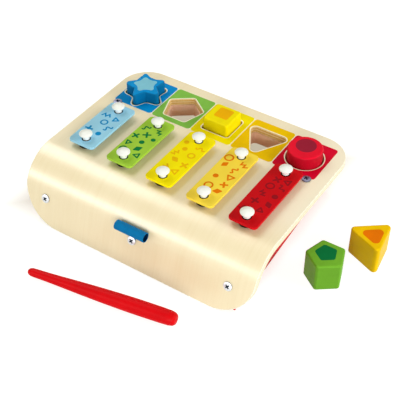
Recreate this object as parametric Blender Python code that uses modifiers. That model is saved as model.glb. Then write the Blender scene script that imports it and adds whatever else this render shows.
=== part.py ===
"""Wooden toy xylophone with a shape puzzle, its loose blocks and its mallet.

A moulded plywood cover, flat on top and bent down at the front into a leaning flap, stands on two side
panels. Five bars lie across the front half, loose on black sleeves and held by white pins. Behind them five
shaped holes go through the cover and through the thick plate under it.

Metres, +Z up, the front towards -Y. The whole set is centred on the origin, which lies on the table.
"""

import math

import bmesh
import bpy
from mathutils import Matrix, Vector

# Fits and cuts
SEAT_GAP = 0.0003
NEARLY_NONE = 1e-6
PANEL_GAP = 0.0007
OVERRUN = 0.002
WELD_DISTANCE = 0.00001
FACET_ANGLE = math.radians(15)
FINE_FACET_ANGLE = math.radians(9)
HOLE_SIDES = 12
TURNED_STEPS = 18
SMALL_TURNED_STEPS = 14
SHARP_ANGLE = math.radians(35)

# Bars: five, longer from left to right, on one pitch
BAR_PITCH = 0.0434
BAR_WIDTH = 0.0275
BAR_THICKNESS = 0.0025
BAR_CORNER_RADIUS = 0.004
BAR_EDGE_ROUNDING = 0.0003
BAR_LIFT = 0.0045
BAR_END_TO_PIN = 0.0092
SHORTEST_PIN_SPACING = 0.0482
PIN_SPACING_STEP = 0.00403
BAR_COLOURS = ("blue", "green", "yellow", "amber", "red")

# Pins: a low domed head on a neck, and a thinner shank through the plywood
PIN_HEAD_DIAMETER = 0.012
PIN_HEAD_HEIGHT = 0.0026
PIN_HEAD_RIM = 0.0009
PIN_HEAD_CLEARANCE = 0.0046
PIN_NECK_DIAMETER = 0.0058
PIN_SHANK_DIAMETER = 0.003

# Sleeves: a washer under the bar and a collar up through the bar's hole
SLEEVE_COLLAR_DIAMETER = 0.0079
SLEEVE_WASHER_DIAMETER = 0.0142
BAR_HOLE_CLEARANCE = 0.0004

# Puzzle: five holes on the bars' pitch. The plate's are up to a step narrower than the cover's, and hold the blocks
PUZZLE_BEHIND_BARS = 0.026
PLATE_HOLE_STEP = 0.0005
BLOCK_CLEARANCE = 0.0006
BLOCK_HEIGHT = 0.0285
BLOCK_PROUD = 0.013
BLOCK_EDGE_ROUNDING = 0.0018
BLOCK_CORNER_ROUNDING = 0.0028
STAR_TIP_RADIUS = 0.0248
STAR_WAIST_RADIUS = 0.0127
STAR_TIP_ROUNDING = 0.0037
STAR_WAIST_ROUNDING = 0.0048
PENTAGON_RADIUS = 0.0196
PENTAGON_ROUNDING = 0.0025
SQUARE_SIDE = 0.0288
SQUARE_ROUNDING = 0.003
TRIANGLE_RADIUS = 0.0242
TRIANGLE_ROUNDING = 0.0042
TRIANGLE_SET_BACK = 0.003
CIRCLE_DIAMETER = 0.0352

# Cover: plywood, flat on top, bent over a large radius into the leaning flap
COVER_HEIGHT = 0.058
PLY_THICKNESS = 0.0068
BEND_RADIUS = 0.0372
BEND_STRIPS = 14
FLAP_LEAN = math.radians(17.2)
FLAP_CORNER_RADIUS = 0.0385
REAR_CORNER_RADIUS = 0.0284
SIDE_MARGIN = 0.0332
FRONT_PIN_INSET = 0.0057
REAR_MARGIN = 0.0367

# Hole plate: the thick plate glued under the cover
PLATE_THICKNESS = 0.0124
PLATE_SIDE_INSET = 0.009
PLATE_REAR_INSET = 0.0055
PLATE_FRONT_REACH = 0.0305
PLATE_CORNER_RADIUS = 0.012

# Side panels: they follow the inside of the bend, carry the plate and toe in to the rear
PANEL_THICKNESS = 0.014
PANEL_TOE_IN = math.radians(3)
WINDOW_FRONT_REACH = 0.024
PANEL_POST_WIDTH = 0.010
PANEL_RAIL_HEIGHT = 0.010
WINDOW_ROUNDING = 0.008

# Screws: round cross heads
SCREW_HEAD_DIAMETER = 0.0082
SCREW_HEAD_HEIGHT = 0.0022
SCREW_HEAD_RIM = 0.0006
SCREW_SHANK_DIAMETER = 0.0034
SCREW_LENGTH = 0.018
LOOP_SCREW_LENGTH = 0.007
CROSS_SPAN = 0.0046
CROSS_WIDTH = 0.0011
CROSS_DEPTH = 0.0013
FLAP_SCREW_INSET = 0.0236
FLAP_SCREW_ALONG = 0.027
TOP_SCREW_INSET = 0.018
TOP_SCREW_FROM_PUZZLE = 0.025

# Mallet loop: a thin-walled tube on the bend, with a tongue down to the middle screw
LOOP_LENGTH = 0.0305
LOOP_DIAMETER = 0.009
LOOP_WALL = 0.0007
LOOP_FOOT_WIDTH = 0.005
LOOP_ABOVE_SCREW = 0.0105
TONGUE_WIDTH = 0.0066
TONGUE_THICKNESS = 0.0005

# Mallet: a stick that swells towards its thick end, radii at shares of its length
MALLET_LENGTH = 0.1419
MALLET_THICK_RADIUS = 0.00675
MALLET_SHARES = (
    (0.006, 0.30),
    (0.016, 0.46),
    (0.030, 0.545),
    (0.100, 0.585),
    (0.190, 0.645),
    (0.290, 0.735),
    (0.380, 0.815),
    (0.530, 0.925),
    (0.690, 0.995),
    (0.800, 1.0),
    (0.900, 0.985),
    (0.955, 0.950),
    (0.980, 0.840),
    (0.993, 0.640),
)
MALLET_REST_TILT = math.radians(1.4)

# Where the loose things lie, from the middle of the flap's foot
PENTAGON_PLACE = (0.1476, 0.082)
PENTAGON_TURN = math.radians(180.8)
TRIANGLE_PLACE = (0.1699, 0.1254)
TRIANGLE_TURN = math.radians(37.6)
MALLET_PLACE = (0.0035, -0.0433)
MALLET_TURN = math.radians(9.1)

# Sizes that follow from those above
LONGEST_PIN_SPACING = SHORTEST_PIN_SPACING + (len(BAR_COLOURS) - 1) * PIN_SPACING_STEP
LONGEST_BAR = LONGEST_PIN_SPACING + 2 * BAR_END_TO_PIN
COVER_WIDTH = (len(BAR_COLOURS) - 1) * BAR_PITCH + 2 * SIDE_MARGIN
BEND_LENGTH = BEND_RADIUS * (math.pi / 2 - FLAP_LEAN)
FLAP_LENGTH = (COVER_HEIGHT - BEND_RADIUS * (1 - math.sin(FLAP_LEAN))) / math.cos(FLAP_LEAN)
BEND_CENTRE_Z = COVER_HEIGHT - BEND_RADIUS
TOP_START_Y = FLAP_LENGTH * math.sin(FLAP_LEAN) + BEND_RADIUS * math.cos(FLAP_LEAN)
BAR_ROW_Y = TOP_START_Y + FRONT_PIN_INSET + LONGEST_PIN_SPACING / 2
PUZZLE_Y = BAR_ROW_Y + LONGEST_BAR / 2 + PUZZLE_BEHIND_BARS
COVER_DEPTH = PUZZLE_Y + REAR_MARGIN
COVER_UNDERSIDE = COVER_HEIGHT - PLY_THICKNESS
PLATE_TOP = COVER_UNDERSIDE - SEAT_GAP
PLATE_UNDERSIDE = PLATE_TOP - PLATE_THICKNESS
PLATE_FRONT_Y = PUZZLE_Y - PLATE_FRONT_REACH
PLATE_REAR_Y = COVER_DEPTH - PLATE_REAR_INSET
BAR_UNDERSIDE = COVER_HEIGHT + BAR_LIFT
BAR_HOLE_DIAMETER = SLEEVE_COLLAR_DIAMETER + 2 * BAR_HOLE_CLEARANCE
FLAP_SCREW_X = COVER_WIDTH / 2 - FLAP_SCREW_INSET
TOP_SCREW_X = COVER_WIDTH / 2 - TOP_SCREW_INSET
TOP_SCREW_Y = PUZZLE_Y - TOP_SCREW_FROM_PUZZLE
LOOP_ALONG = FLAP_SCREW_ALONG + LOOP_ABOVE_SCREW

# Finishes: colour, roughness, metallic
FINISHES = {
    "birch": ((0.90, 0.78, 0.56), 0.45, 0.0),
    "red_wood": ((0.70, 0.02, 0.03), 0.40, 0.0),
    "blue": ((0.30, 0.62, 0.87), 0.35, 0.0),
    "green": ((0.30, 0.58, 0.03), 0.35, 0.0),
    "yellow": ((1.00, 0.83, 0.0), 0.35, 0.0),
    "amber": ((1.00, 0.68, 0.05), 0.35, 0.0),
    "red": ((0.72, 0.01, 0.02), 0.35, 0.0),
    "white_plastic": ((0.90, 0.90, 0.90), 0.30, 0.0),
    "black_rubber": ((0.01, 0.01, 0.01), 0.70, 0.0),
    "steel": ((0.75, 0.75, 0.75), 0.25, 1.0),
    "blue_band": ((0.0, 0.17, 0.48), 0.60, 0.0),
    "blue_block": ((0.0, 0.29, 0.75), 0.45, 0.0),
    "green_block": ((0.13, 0.43, 0.03), 0.45, 0.0),
    "yellow_block": ((1.00, 0.83, 0.0), 0.45, 0.0),
    "amber_block": ((0.84, 0.54, 0.0), 0.45, 0.0),
    "red_block": ((0.72, 0.01, 0.02), 0.45, 0.0),
}


# Scene, finishes and parents


def clear_scene():
    for obj in list(bpy.data.objects):
        bpy.data.objects.remove(obj, do_unlink=True)


def new_collection(name):
    collection = bpy.data.collections.new(name)
    bpy.context.scene.collection.children.link(collection)
    return collection


def finish(name):
    """The material of this name, made at its first use."""
    if name in bpy.data.materials:
        return bpy.data.materials[name]
    colour, roughness, metallic = FINISHES[name]
    material = bpy.data.materials.new(name)
    material.use_nodes = True
    shader = material.node_tree.nodes["Principled BSDF"]
    shader.inputs["Base Color"].default_value = (*colour, 1.0)
    shader.inputs["Roughness"].default_value = roughness
    shader.inputs["Metallic"].default_value = metallic
    return material


def place(name, mesh, material, location=(0, 0, 0), rotation=(0, 0, 0)):
    """A part of the toy: an object on this mesh, under the set's root."""
    obj = bpy.data.objects.new(name, mesh)
    obj.location = location
    obj.rotation_euler = rotation
    obj.parent = ROOT
    if not mesh.materials:
        mesh.materials.append(finish(material))
    PARTS.objects.link(obj)
    return obj


def cutter(name, mesh, location=(0, 0, 0), rotation=(0, 0, 0)):
    obj = bpy.data.objects.new(name, mesh)
    obj.location = location
    obj.rotation_euler = rotation
    obj.parent = ROOT
    obj.hide_render = True
    obj.display_type = "WIRE"
    CUTTERS.objects.link(obj)
    return obj


def boolean(obj, other, operation="DIFFERENCE"):
    modifier = obj.modifiers.new(other.name, "BOOLEAN")
    modifier.operation = operation
    modifier.object = other
    modifier.solver = "EXACT"


def round_edges(obj, width, segments):
    """Rounds the rims of a plate, and leaves the facets of its curved walls alone."""
    modifier = obj.modifiers.new("rounded_edges", "BEVEL")
    modifier.width = width
    modifier.segments = segments
    modifier.limit_method = "ANGLE"
    modifier.angle_limit = math.radians(60)


def evaluated_mesh(name, obj):
    """What the object's modifiers make of it, as a plain mesh, and the object is removed."""
    graph = bpy.context.evaluated_depsgraph_get()
    mesh = bpy.data.meshes.new_from_object(obj.evaluated_get(graph))
    mesh.name = name
    bpy.data.objects.remove(obj, do_unlink=True)
    return mesh


# Outlines


def corner_arc(centre, radius, first, last, step):
    """Points of an arc from one angle to the other, both ends included."""
    count = max(1, math.ceil(abs(last - first) / step - NEARLY_NONE))
    angles = (first + (last - first) * i / count for i in range(count + 1))
    return [centre + radius * Vector((math.cos(a), math.sin(a))) for a in angles]


def rounded(corners, radii, step=FACET_ANGLE):
    """A closed outline through these corners, each rounded by its own radius. Zero keeps a corner sharp."""
    outline = []
    for i, corner in enumerate(corners):
        radius = radii[i]
        if not radius:
            outline.append(corner.copy())
            continue
        into = (corner - corners[i - 1]).normalized()
        out = (corners[(i + 1) % len(corners)] - corner).normalized()
        turn = math.atan2(into.cross(out), into.dot(out))
        side = math.copysign(1, turn)
        centre = corner - into * radius * math.tan(abs(turn) / 2) + side * radius * into.orthogonal()
        first = math.atan2(-side * into.orthogonal().y, -side * into.orthogonal().x)
        outline += corner_arc(centre, radius, first, first + turn, step)
    return outline


def moved_in(corners, distance):
    """The corners of the outline that lies this far inside an anticlockwise one."""
    moved = []
    for i, corner in enumerate(corners):
        into = (corner - corners[i - 1]).normalized()
        out = (corners[(i + 1) % len(corners)] - corner).normalized()
        inward = into.orthogonal() + out.orthogonal()
        moved.append(corner + inward * distance / (1 + into.dot(out)))
    return moved


def ring_of_points(count, radii, first_angle):
    """Corners round a centre, with the radii used in turn."""
    angles = (first_angle + math.tau * i / count for i in range(count))
    return [radii[i % len(radii)] * Vector((math.cos(a), math.sin(a))) for i, a in enumerate(angles)]


def rectangle(x0, y0, x1, y1):
    return [Vector((x0, y0)), Vector((x1, y0)), Vector((x1, y1)), Vector((x0, y1))]


def circle(diameter, sides=HOLE_SIDES, centre=(0, 0)):
    return [point + Vector(centre) for point in ring_of_points(sides, (diameter / 2,), 0)]


def shape_outline(shape, inset=0, least_rounding=0):
    """The outline of a puzzle shape about its own centre, this far inside the edge of the cover's hole."""
    if shape == "circle":
        return circle(CIRCLE_DIAMETER - 2 * inset, round(math.tau / FINE_FACET_ANGLE))
    if shape == "star":
        corners = ring_of_points(10, (STAR_TIP_RADIUS, STAR_WAIST_RADIUS), -math.pi / 2)
        rounding = STAR_TIP_ROUNDING
    elif shape == "pentagon":
        corners = ring_of_points(5, (PENTAGON_RADIUS,), math.pi / 2)
        rounding = PENTAGON_ROUNDING
    elif shape == "square":
        corners = ring_of_points(4, (SQUARE_SIDE / math.sqrt(2),), math.pi / 4)
        rounding = SQUARE_ROUNDING
    else:
        corners = ring_of_points(3, (TRIANGLE_RADIUS,), -math.pi / 2)
        rounding = TRIANGLE_ROUNDING
    radii = [max(rounding - inset, least_rounding)] * len(corners)
    if shape == "star":
        radii[1::2] = [STAR_WAIST_ROUNDING + inset] * (len(corners) // 2)
    return rounded(moved_in(corners, inset), radii)


def lane_x(lane):
    """The centre line of a lane, which a bar and a puzzle hole share."""
    return (lane - (len(BAR_COLOURS) - 1) / 2) * BAR_PITCH


def pin_spacing(lane):
    return SHORTEST_PIN_SPACING + lane * PIN_SPACING_STEP


def pin_places(lane):
    """The front and the rear pin of a bar, on the cover."""
    half = pin_spacing(lane) / 2
    return {"front": (lane_x(lane), BAR_ROW_Y - half), "rear": (lane_x(lane), BAR_ROW_Y + half)}


def puzzle_places():
    """Each puzzle shape and the centre of its hole, from left to right."""
    shapes = ("star", "pentagon", "square", "triangle", "circle")
    back = {"triangle": TRIANGLE_SET_BACK}
    return {shape: (lane_x(lane), PUZZLE_Y + back.get(shape, 0)) for lane, shape in enumerate(shapes)}


def plate_step(shape):
    """How far the plate's hole lies inside the cover's. The triangle's holes are alike in both."""
    return 0 if shape == "triangle" else PLATE_HOLE_STEP


def placed(outline, centre):
    return [point + Vector(centre) for point in outline]


# Meshes


def plate_mesh(name, outlines, thickness):
    """A flat plate about z = 0 from closed outlines, where an inner outline is a hole."""
    curve = bpy.data.curves.new(name, "CURVE")
    curve.dimensions = "2D"
    curve.fill_mode = "BOTH"
    curve.extrude = thickness / 2
    for outline in outlines:
        spline = curve.splines.new("POLY")
        spline.points.add(len(outline) - 1)
        for point, (x, y) in zip(spline.points, outline):
            point.co = (x, y, 0, 1)
        spline.use_cyclic_u = True
    drawn = bpy.data.objects.new(name, curve)
    bpy.context.scene.collection.objects.link(drawn)
    mesh = evaluated_mesh(name, drawn)
    bpy.data.curves.remove(curve)
    welded = bmesh.new()
    welded.from_mesh(mesh)
    bmesh.ops.remove_doubles(welded, verts=welded.verts, dist=WELD_DISTANCE)
    bmesh.ops.recalc_face_normals(welded, faces=welded.faces)
    welded.to_mesh(mesh)
    welded.free()
    mesh.shade_smooth()
    mesh.set_sharp_from_angle(angle=SHARP_ANGLE)
    return mesh


def turned_mesh(name, profile, steps=TURNED_STEPS, closed=False):
    """A turned piece from (radius, height) points that run down its outer side."""
    mesh = bpy.data.meshes.new(name)
    drawn = bmesh.new()
    points = [drawn.verts.new((radius, 0, height)) for radius, height in profile]
    for one, next_one in zip(points, points[1:] + points[:1] if closed else points[1:]):
        drawn.edges.new((one, next_one))
    drawn.to_mesh(mesh)
    drawn.free()
    obj = bpy.data.objects.new(name, mesh)
    bpy.context.scene.collection.objects.link(obj)
    screw = obj.modifiers.new("turned", "SCREW")
    screw.axis = "Z"
    screw.steps = steps
    screw.render_steps = steps
    screw.use_merge_vertices = True
    screw.merge_threshold = WELD_DISTANCE
    turned = evaluated_mesh(name, obj)
    turned.shade_smooth()
    turned.set_sharp_from_angle(angle=SHARP_ANGLE)
    return turned


def dome(radius, rim_height, top_height, steps=3):
    """A low dome's profile from its top on the axis down to its rim."""
    rise = top_height - rim_height
    sphere = (radius**2 + rise**2) / (2 * rise)
    spread = math.asin(radius / sphere)
    centre = top_height - sphere
    angles = [spread * i / steps for i in range(steps + 1)]
    return [(sphere * math.sin(a), centre + sphere * math.cos(a)) for a in angles]


# Cover


def sheet_angle(along):
    """How far the bent sheet leans from upright, this far along its outer face from the foot."""
    angle = FLAP_LEAN + (along - FLAP_LENGTH) / BEND_RADIUS
    return min(max(angle, FLAP_LEAN), math.pi / 2)


def square_to_sheet(along):
    """The turn that stands a piece's own z axis square on the sheet's outer face."""
    return (math.pi / 2 - sheet_angle(along), 0, 0)


def on_cover(x, along, depth=0):
    """A point of the bent sheet: this far along its outer face from the foot, and this deep in it."""
    angle = sheet_angle(along)
    straight = along - FLAP_LENGTH - (angle - FLAP_LEAN) * BEND_RADIUS
    tangent = Vector((0, math.sin(angle), math.cos(angle)))
    inward = Vector((0, math.cos(angle), -math.sin(angle)))
    centre = Vector((x, TOP_START_Y, BEND_CENTRE_Z))
    return centre + (depth - BEND_RADIUS) * inward + straight * tangent


def along_top(y):
    """How far along the sheet's outer face a place on the flat top lies."""
    return FLAP_LENGTH + BEND_LENGTH + y - TOP_START_Y


def cover_outlines():
    """The flat sheet before it is bent, with every hole that goes through it."""
    half = COVER_WIDTH / 2
    sheet = rectangle(-half, 0, half, along_top(COVER_DEPTH))
    corners = [FLAP_CORNER_RADIUS, FLAP_CORNER_RADIUS, REAR_CORNER_RADIUS, REAR_CORNER_RADIUS]
    outlines = [rounded(sheet, corners, math.radians(7.5))]
    for shape, (x, y) in puzzle_places().items():
        outlines.append(placed(shape_outline(shape), (x, along_top(y))))
    pin_hole = PIN_SHANK_DIAMETER + 2 * SEAT_GAP
    for lane in range(len(BAR_COLOURS)):
        for x, y in pin_places(lane).values():
            outlines.append(circle(pin_hole, centre=(x, along_top(y))))
    screw_hole = SCREW_SHANK_DIAMETER + 2 * SEAT_GAP
    for x in (-FLAP_SCREW_X, 0, FLAP_SCREW_X):
        outlines.append(circle(screw_hole, centre=(x, FLAP_SCREW_ALONG)))
    for x in (-TOP_SCREW_X, TOP_SCREW_X):
        outlines.append(circle(screw_hole, centre=(x, along_top(TOP_SCREW_Y))))
    return outlines


def wrap_over_bend(mesh, depth):
    """Creases a flat sheet into strips where the cover bends, and lays its middle this deep in the cover."""
    sheet = bmesh.new()
    sheet.from_mesh(mesh)
    for i in range(BEND_STRIPS + 1):
        crease = FLAP_LENGTH + BEND_LENGTH * i / BEND_STRIPS
        everything = sheet.verts[:] + sheet.edges[:] + sheet.faces[:]
        bmesh.ops.bisect_plane(
            sheet, geom=everything, dist=WELD_DISTANCE, plane_co=(0, crease, 0), plane_no=(0, 1, 0)
        )
    for vertex in sheet.verts:
        x, along, height = vertex.co
        vertex.co = on_cover(x, along, depth - height)
    bmesh.ops.triangulate(sheet, faces=[face for face in sheet.faces if len(face.verts) > 4])
    sheet.to_mesh(mesh)
    sheet.free()


def make_cover():
    """The sheet is cut flat with every hole in it, wrapped over the bend and planed level at its foot."""
    mesh = plate_mesh("plywood_cover", cover_outlines(), PLY_THICKNESS)
    wrap_over_bend(mesh, PLY_THICKNESS / 2)
    for vertex in mesh.vertices:
        if vertex.co.z < 0:
            vertex.co.y -= vertex.co.z * math.tan(FLAP_LEAN)
            vertex.co.z = 0
    mesh.shade_smooth()
    mesh.set_sharp_from_angle(angle=SHARP_ANGLE)
    place("plywood_cover", mesh, "birch")


# Hole plate and side panels


def make_hole_plate():
    half = COVER_WIDTH / 2 - PLATE_SIDE_INSET
    board = rectangle(-half, PLATE_FRONT_Y, half, PLATE_REAR_Y)
    outlines = [rounded(board, [0, 0, PLATE_CORNER_RADIUS, PLATE_CORNER_RADIUS])]
    for shape, centre in puzzle_places().items():
        outlines.append(placed(shape_outline(shape, plate_step(shape)), centre))
    for x in (-TOP_SCREW_X, TOP_SCREW_X):
        outlines.append(circle(SCREW_SHANK_DIAMETER + 2 * SEAT_GAP, centre=(x, TOP_SCREW_Y)))
    mesh = plate_mesh("hole_plate", outlines, PLATE_THICKNESS)
    place("hole_plate", mesh, "red_wood", (0, 0, PLATE_TOP - PLATE_THICKNESS / 2))


def panel_outline():
    """Seen from the side: up the inside of the flap, round the bend, back under the plate, and the window."""
    to_bend = BEND_RADIUS - PLY_THICKNESS - PANEL_GAP
    centre = Vector((TOP_START_Y, BEND_CENTRE_Z))
    inside_top = COVER_UNDERSIDE - SEAT_GAP
    bend = corner_arc(centre, to_bend, math.pi - FLAP_LEAN, math.pi / 2, FACET_ANGLE / 2)
    foot_y = (PLY_THICKNESS + PANEL_GAP) / math.cos(FLAP_LEAN)
    plate_y = PLATE_FRONT_Y - PANEL_GAP
    ledge = PLATE_UNDERSIDE - SEAT_GAP
    window_front = PUZZLE_Y - WINDOW_FRONT_REACH
    window_rear = PLATE_REAR_Y - PANEL_POST_WIDTH
    window = [Vector((window_rear, PANEL_RAIL_HEIGHT)), Vector((window_front, PANEL_RAIL_HEIGHT))]
    corners = [
        Vector((foot_y, 0)),
        Vector((PLATE_REAR_Y, 0)),
        Vector((PLATE_REAR_Y, ledge)),
        Vector((window_rear, ledge)),
        *window,
        Vector((window_front, ledge)),
        Vector((plate_y, ledge)),
        Vector((plate_y, inside_top)),
        Vector((TOP_START_Y, inside_top)),
        *reversed(bend),
    ]
    radii = [WINDOW_ROUNDING if corner in window else 0 for corner in corners]
    return rounded(corners, radii)


def drilled_place():
    """The middle of a flap screw's pilot hole in a side panel, and its turn."""
    depth = (SCREW_LENGTH + OVERRUN) / 2 + SEAT_GAP
    return on_cover(FLAP_SCREW_X, FLAP_SCREW_ALONG, depth), square_to_sheet(FLAP_SCREW_ALONG)


def make_side_panel(side, name):
    """One panel, about the inside of the flap behind its screw, where it turns in to the rear."""
    turning_point = on_cover(side * FLAP_SCREW_X, FLAP_SCREW_ALONG, PLY_THICKNESS)
    outline = [point - Vector((turning_point.y, 0)) for point in panel_outline()]
    mesh = plate_mesh(name, [outline], PANEL_THICKNESS)
    location = (turning_point.x, turning_point.y, 0)
    turn = (math.pi / 2, 0, math.pi / 2 + side * PANEL_TOE_IN)
    panel = place(name, mesh, "red_wood", location, turn)
    (x, y, z), tilt = drilled_place()
    drill_mesh = plate_mesh(name + "_drill", [circle(SCREW_SHANK_DIAMETER + 2 * SEAT_GAP)], SCREW_LENGTH + OVERRUN)
    boolean(panel, cutter(name + "_drill", drill_mesh, (side * x, y, z), tilt))


# Bars, sleeves and pins


def make_bar(lane, colour):
    half_length = pin_spacing(lane) / 2 + BAR_END_TO_PIN
    bar = rectangle(-BAR_WIDTH / 2, -half_length, BAR_WIDTH / 2, half_length)
    outlines = [rounded(bar, [BAR_CORNER_RADIUS] * 4)]
    for end in (-1, 1):
        centre = (0, end * pin_spacing(lane) / 2)
        outlines.append(circle(BAR_HOLE_DIAMETER, centre=centre))
    mesh = plate_mesh("bar_" + colour, outlines, BAR_THICKNESS)
    location = (lane_x(lane), BAR_ROW_Y, BAR_UNDERSIDE + BAR_THICKNESS / 2)
    round_edges(place("bar_" + colour, mesh, colour, location), BAR_EDGE_ROUNDING, 1)


def pin_mesh():
    """A pin about the cover's top face: head, neck down to the face, and shank through the plywood."""
    head_underside = BAR_LIFT + BAR_THICKNESS + PIN_HEAD_CLEARANCE
    rim = head_underside + PIN_HEAD_RIM
    neck, shank = PIN_NECK_DIAMETER / 2, PIN_SHANK_DIAMETER / 2
    profile = dome(PIN_HEAD_DIAMETER / 2, rim, head_underside + PIN_HEAD_HEIGHT)
    profile += [(PIN_HEAD_DIAMETER / 2, head_underside), (neck, head_underside)]
    profile += [(neck, SEAT_GAP), (shank, SEAT_GAP), (shank, -PLY_THICKNESS), (0, -PLY_THICKNESS)]
    return turned_mesh("pin", profile)


def sleeve_mesh():
    """A sleeve about the cover's top face: a washer that carries the bar, and a collar through it."""
    bore = PIN_NECK_DIAMETER / 2 + SEAT_GAP
    washer, collar = SLEEVE_WASHER_DIAMETER / 2, SLEEVE_COLLAR_DIAMETER / 2
    washer_top = BAR_LIFT - SEAT_GAP
    collar_top = BAR_LIFT + BAR_THICKNESS
    profile = [(collar, collar_top), (collar, washer_top), (washer, washer_top)]
    profile += [(washer, SEAT_GAP), (bore, SEAT_GAP), (bore, collar_top)]
    return turned_mesh("sleeve", profile, SMALL_TURNED_STEPS, closed=True)


def make_bars():
    pin, sleeve = pin_mesh(), sleeve_mesh()
    for lane, colour in enumerate(BAR_COLOURS):
        make_bar(lane, colour)
        for end, (x, y) in pin_places(lane).items():
            place(f"pin_{colour}_{end}", pin, "white_plastic", (x, y, COVER_HEIGHT))
            place(f"sleeve_{colour}_{end}", sleeve, "black_rubber", (x, y, COVER_HEIGHT))


# Puzzle blocks


def make_block(shape, material, location, turn=0):
    """A block whose underside is at its own z = 0."""
    outline = shape_outline(shape, plate_step(shape) + BLOCK_CLEARANCE, BLOCK_CORNER_ROUNDING)
    mesh = plate_mesh(shape + "_block", [outline], BLOCK_HEIGHT)
    mesh.transform(Matrix.Translation((0, 0, BLOCK_HEIGHT / 2)))
    block = place(shape + "_block", mesh, material, location, (0, 0, turn))
    round_edges(block, BLOCK_EDGE_ROUNDING, 3)


def make_blocks():
    seated = COVER_HEIGHT + BLOCK_PROUD - BLOCK_HEIGHT
    places = puzzle_places()
    for shape, material in (("star", "blue_block"), ("square", "yellow_block"), ("circle", "red_block")):
        make_block(shape, material, (*places[shape], seated))
    make_block("pentagon", "green_block", (*PENTAGON_PLACE, 0), PENTAGON_TURN)
    make_block("triangle", "amber_block", (*TRIANGLE_PLACE, 0), TRIANGLE_TURN)


# Screws


def screw_mesh(name, length):
    """A round-headed screw whose head sits on z = 0 and whose shank points down, with a cross recess."""
    head, shank = SCREW_HEAD_DIAMETER / 2, SCREW_SHANK_DIAMETER / 2
    tip = shank - length
    profile = dome(head, SCREW_HEAD_RIM, SCREW_HEAD_HEIGHT)
    profile += [(head, 0), (shank, 0), (shank, tip), (0, -length)]
    screw = bpy.data.objects.new(name, turned_mesh(name, profile, SMALL_TURNED_STEPS))
    PARTS.objects.link(screw)
    slot = rectangle(-CROSS_SPAN / 2, -CROSS_WIDTH / 2, CROSS_SPAN / 2, CROSS_WIDTH / 2)
    for i, turn in enumerate((0, math.pi / 2)):
        wing = cutter(f"{name}_wing_{i}", plate_mesh("wing", [slot], 2 * CROSS_DEPTH))
        wing.parent = None
        wing.location = (0, 0, SCREW_HEAD_HEIGHT)
        wing.rotation_euler = (0, 0, turn)
        boolean(screw, wing)
    return evaluated_mesh(name, screw)


def make_screws():
    flap_tilt = square_to_sheet(FLAP_SCREW_ALONG)
    long_screw = screw_mesh("screw", SCREW_LENGTH)
    short_screw = screw_mesh("short_screw", LOOP_SCREW_LENGTH)
    for side, end in ((-1, "left"), (1, "right")):
        on_flap = on_cover(side * FLAP_SCREW_X, FLAP_SCREW_ALONG, -SEAT_GAP)
        place("flap_screw_" + end, long_screw, "steel", on_flap, flap_tilt)
        on_top = (side * TOP_SCREW_X, TOP_SCREW_Y, COVER_HEIGHT + SEAT_GAP)
        place("top_screw_" + end, long_screw, "steel", on_top)
    tongue_top = SEAT_GAP + (LOOP_WALL + TONGUE_THICKNESS) / 2
    over_tongue = on_cover(0, FLAP_SCREW_ALONG, -tongue_top - SEAT_GAP)
    place("loop_screw", short_screw, "steel", over_tongue, flap_tilt)


# Mallet loop and mallet


def make_loop():
    """A tube whose flat foot stands on the bend, and a tongue from its wall down to the middle screw."""
    tube = LOOP_DIAMETER / 2
    foot = math.asin(LOOP_FOOT_WIDTH / LOOP_DIAMETER)
    outer = corner_arc(Vector((0, tube)), tube, foot - math.pi / 2, 3 * math.pi / 2 - foot, FACET_ANGLE)
    outer += [Vector((-LOOP_FOOT_WIDTH / 2, 0)), Vector((LOOP_FOOT_WIDTH / 2, 0))]
    bore = circle(LOOP_DIAMETER - 2 * LOOP_WALL, TURNED_STEPS, (0, tube))
    mesh = plate_mesh("mallet_loop", [outer, bore], LOOP_LENGTH)
    mesh.transform(Matrix.Rotation(math.pi / 2, 4, "Y") @ Matrix.Rotation(math.pi / 2, 4, "Z"))
    seat = on_cover(0, LOOP_ALONG, -SEAT_GAP)
    loop = place("mallet_loop", mesh, "blue_band", seat, square_to_sheet(LOOP_ALONG))
    half = TONGUE_WIDTH / 2
    tab = rectangle(-half, FLAP_SCREW_ALONG - half, half, LOOP_ALONG)
    hole = circle(SCREW_SHANK_DIAMETER + 2 * SEAT_GAP, centre=(0, FLAP_SCREW_ALONG))
    tongue = plate_mesh("tongue", [rounded(tab, [half - SEAT_GAP] * 2 + [0, 0]), hole], TONGUE_THICKNESS)
    wrap_over_bend(tongue, -SEAT_GAP - LOOP_WALL / 2)
    boolean(loop, cutter("tongue", tongue), "UNION")


def make_mallet():
    """The stick lies on the table, a little tilted where its swell rests."""
    stations = [(0, 0)] + list(MALLET_SHARES) + [(1, 0)]
    profile = [(radius * MALLET_THICK_RADIUS, share * MALLET_LENGTH) for share, radius in stations]
    mesh = turned_mesh("mallet", profile[::-1])
    mesh.transform(Matrix.Translation((0, 0, -MALLET_LENGTH / 2)))
    turn = Matrix.Rotation(MALLET_TURN, 4, "Z") @ Matrix.Rotation(math.pi / 2 - MALLET_REST_TILT, 4, "Y")
    lowest = min((turn @ vertex.co).z for vertex in mesh.vertices)
    place("mallet", mesh, "red_block", (*MALLET_PLACE, -lowest), turn.to_euler())


def centre_on_origin():
    """Moves the set so that the middle of its footprint is the origin."""
    bpy.context.view_layer.update()
    solids = [part for part in PARTS.objects if part.type == "MESH"]
    points = [solid.matrix_world @ vertex.co for solid in solids for vertex in solid.data.vertices]
    for axis in (0, 1):
        places = [point[axis] for point in points]
        ROOT.location[axis] = -(min(places) + max(places)) / 2


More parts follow.
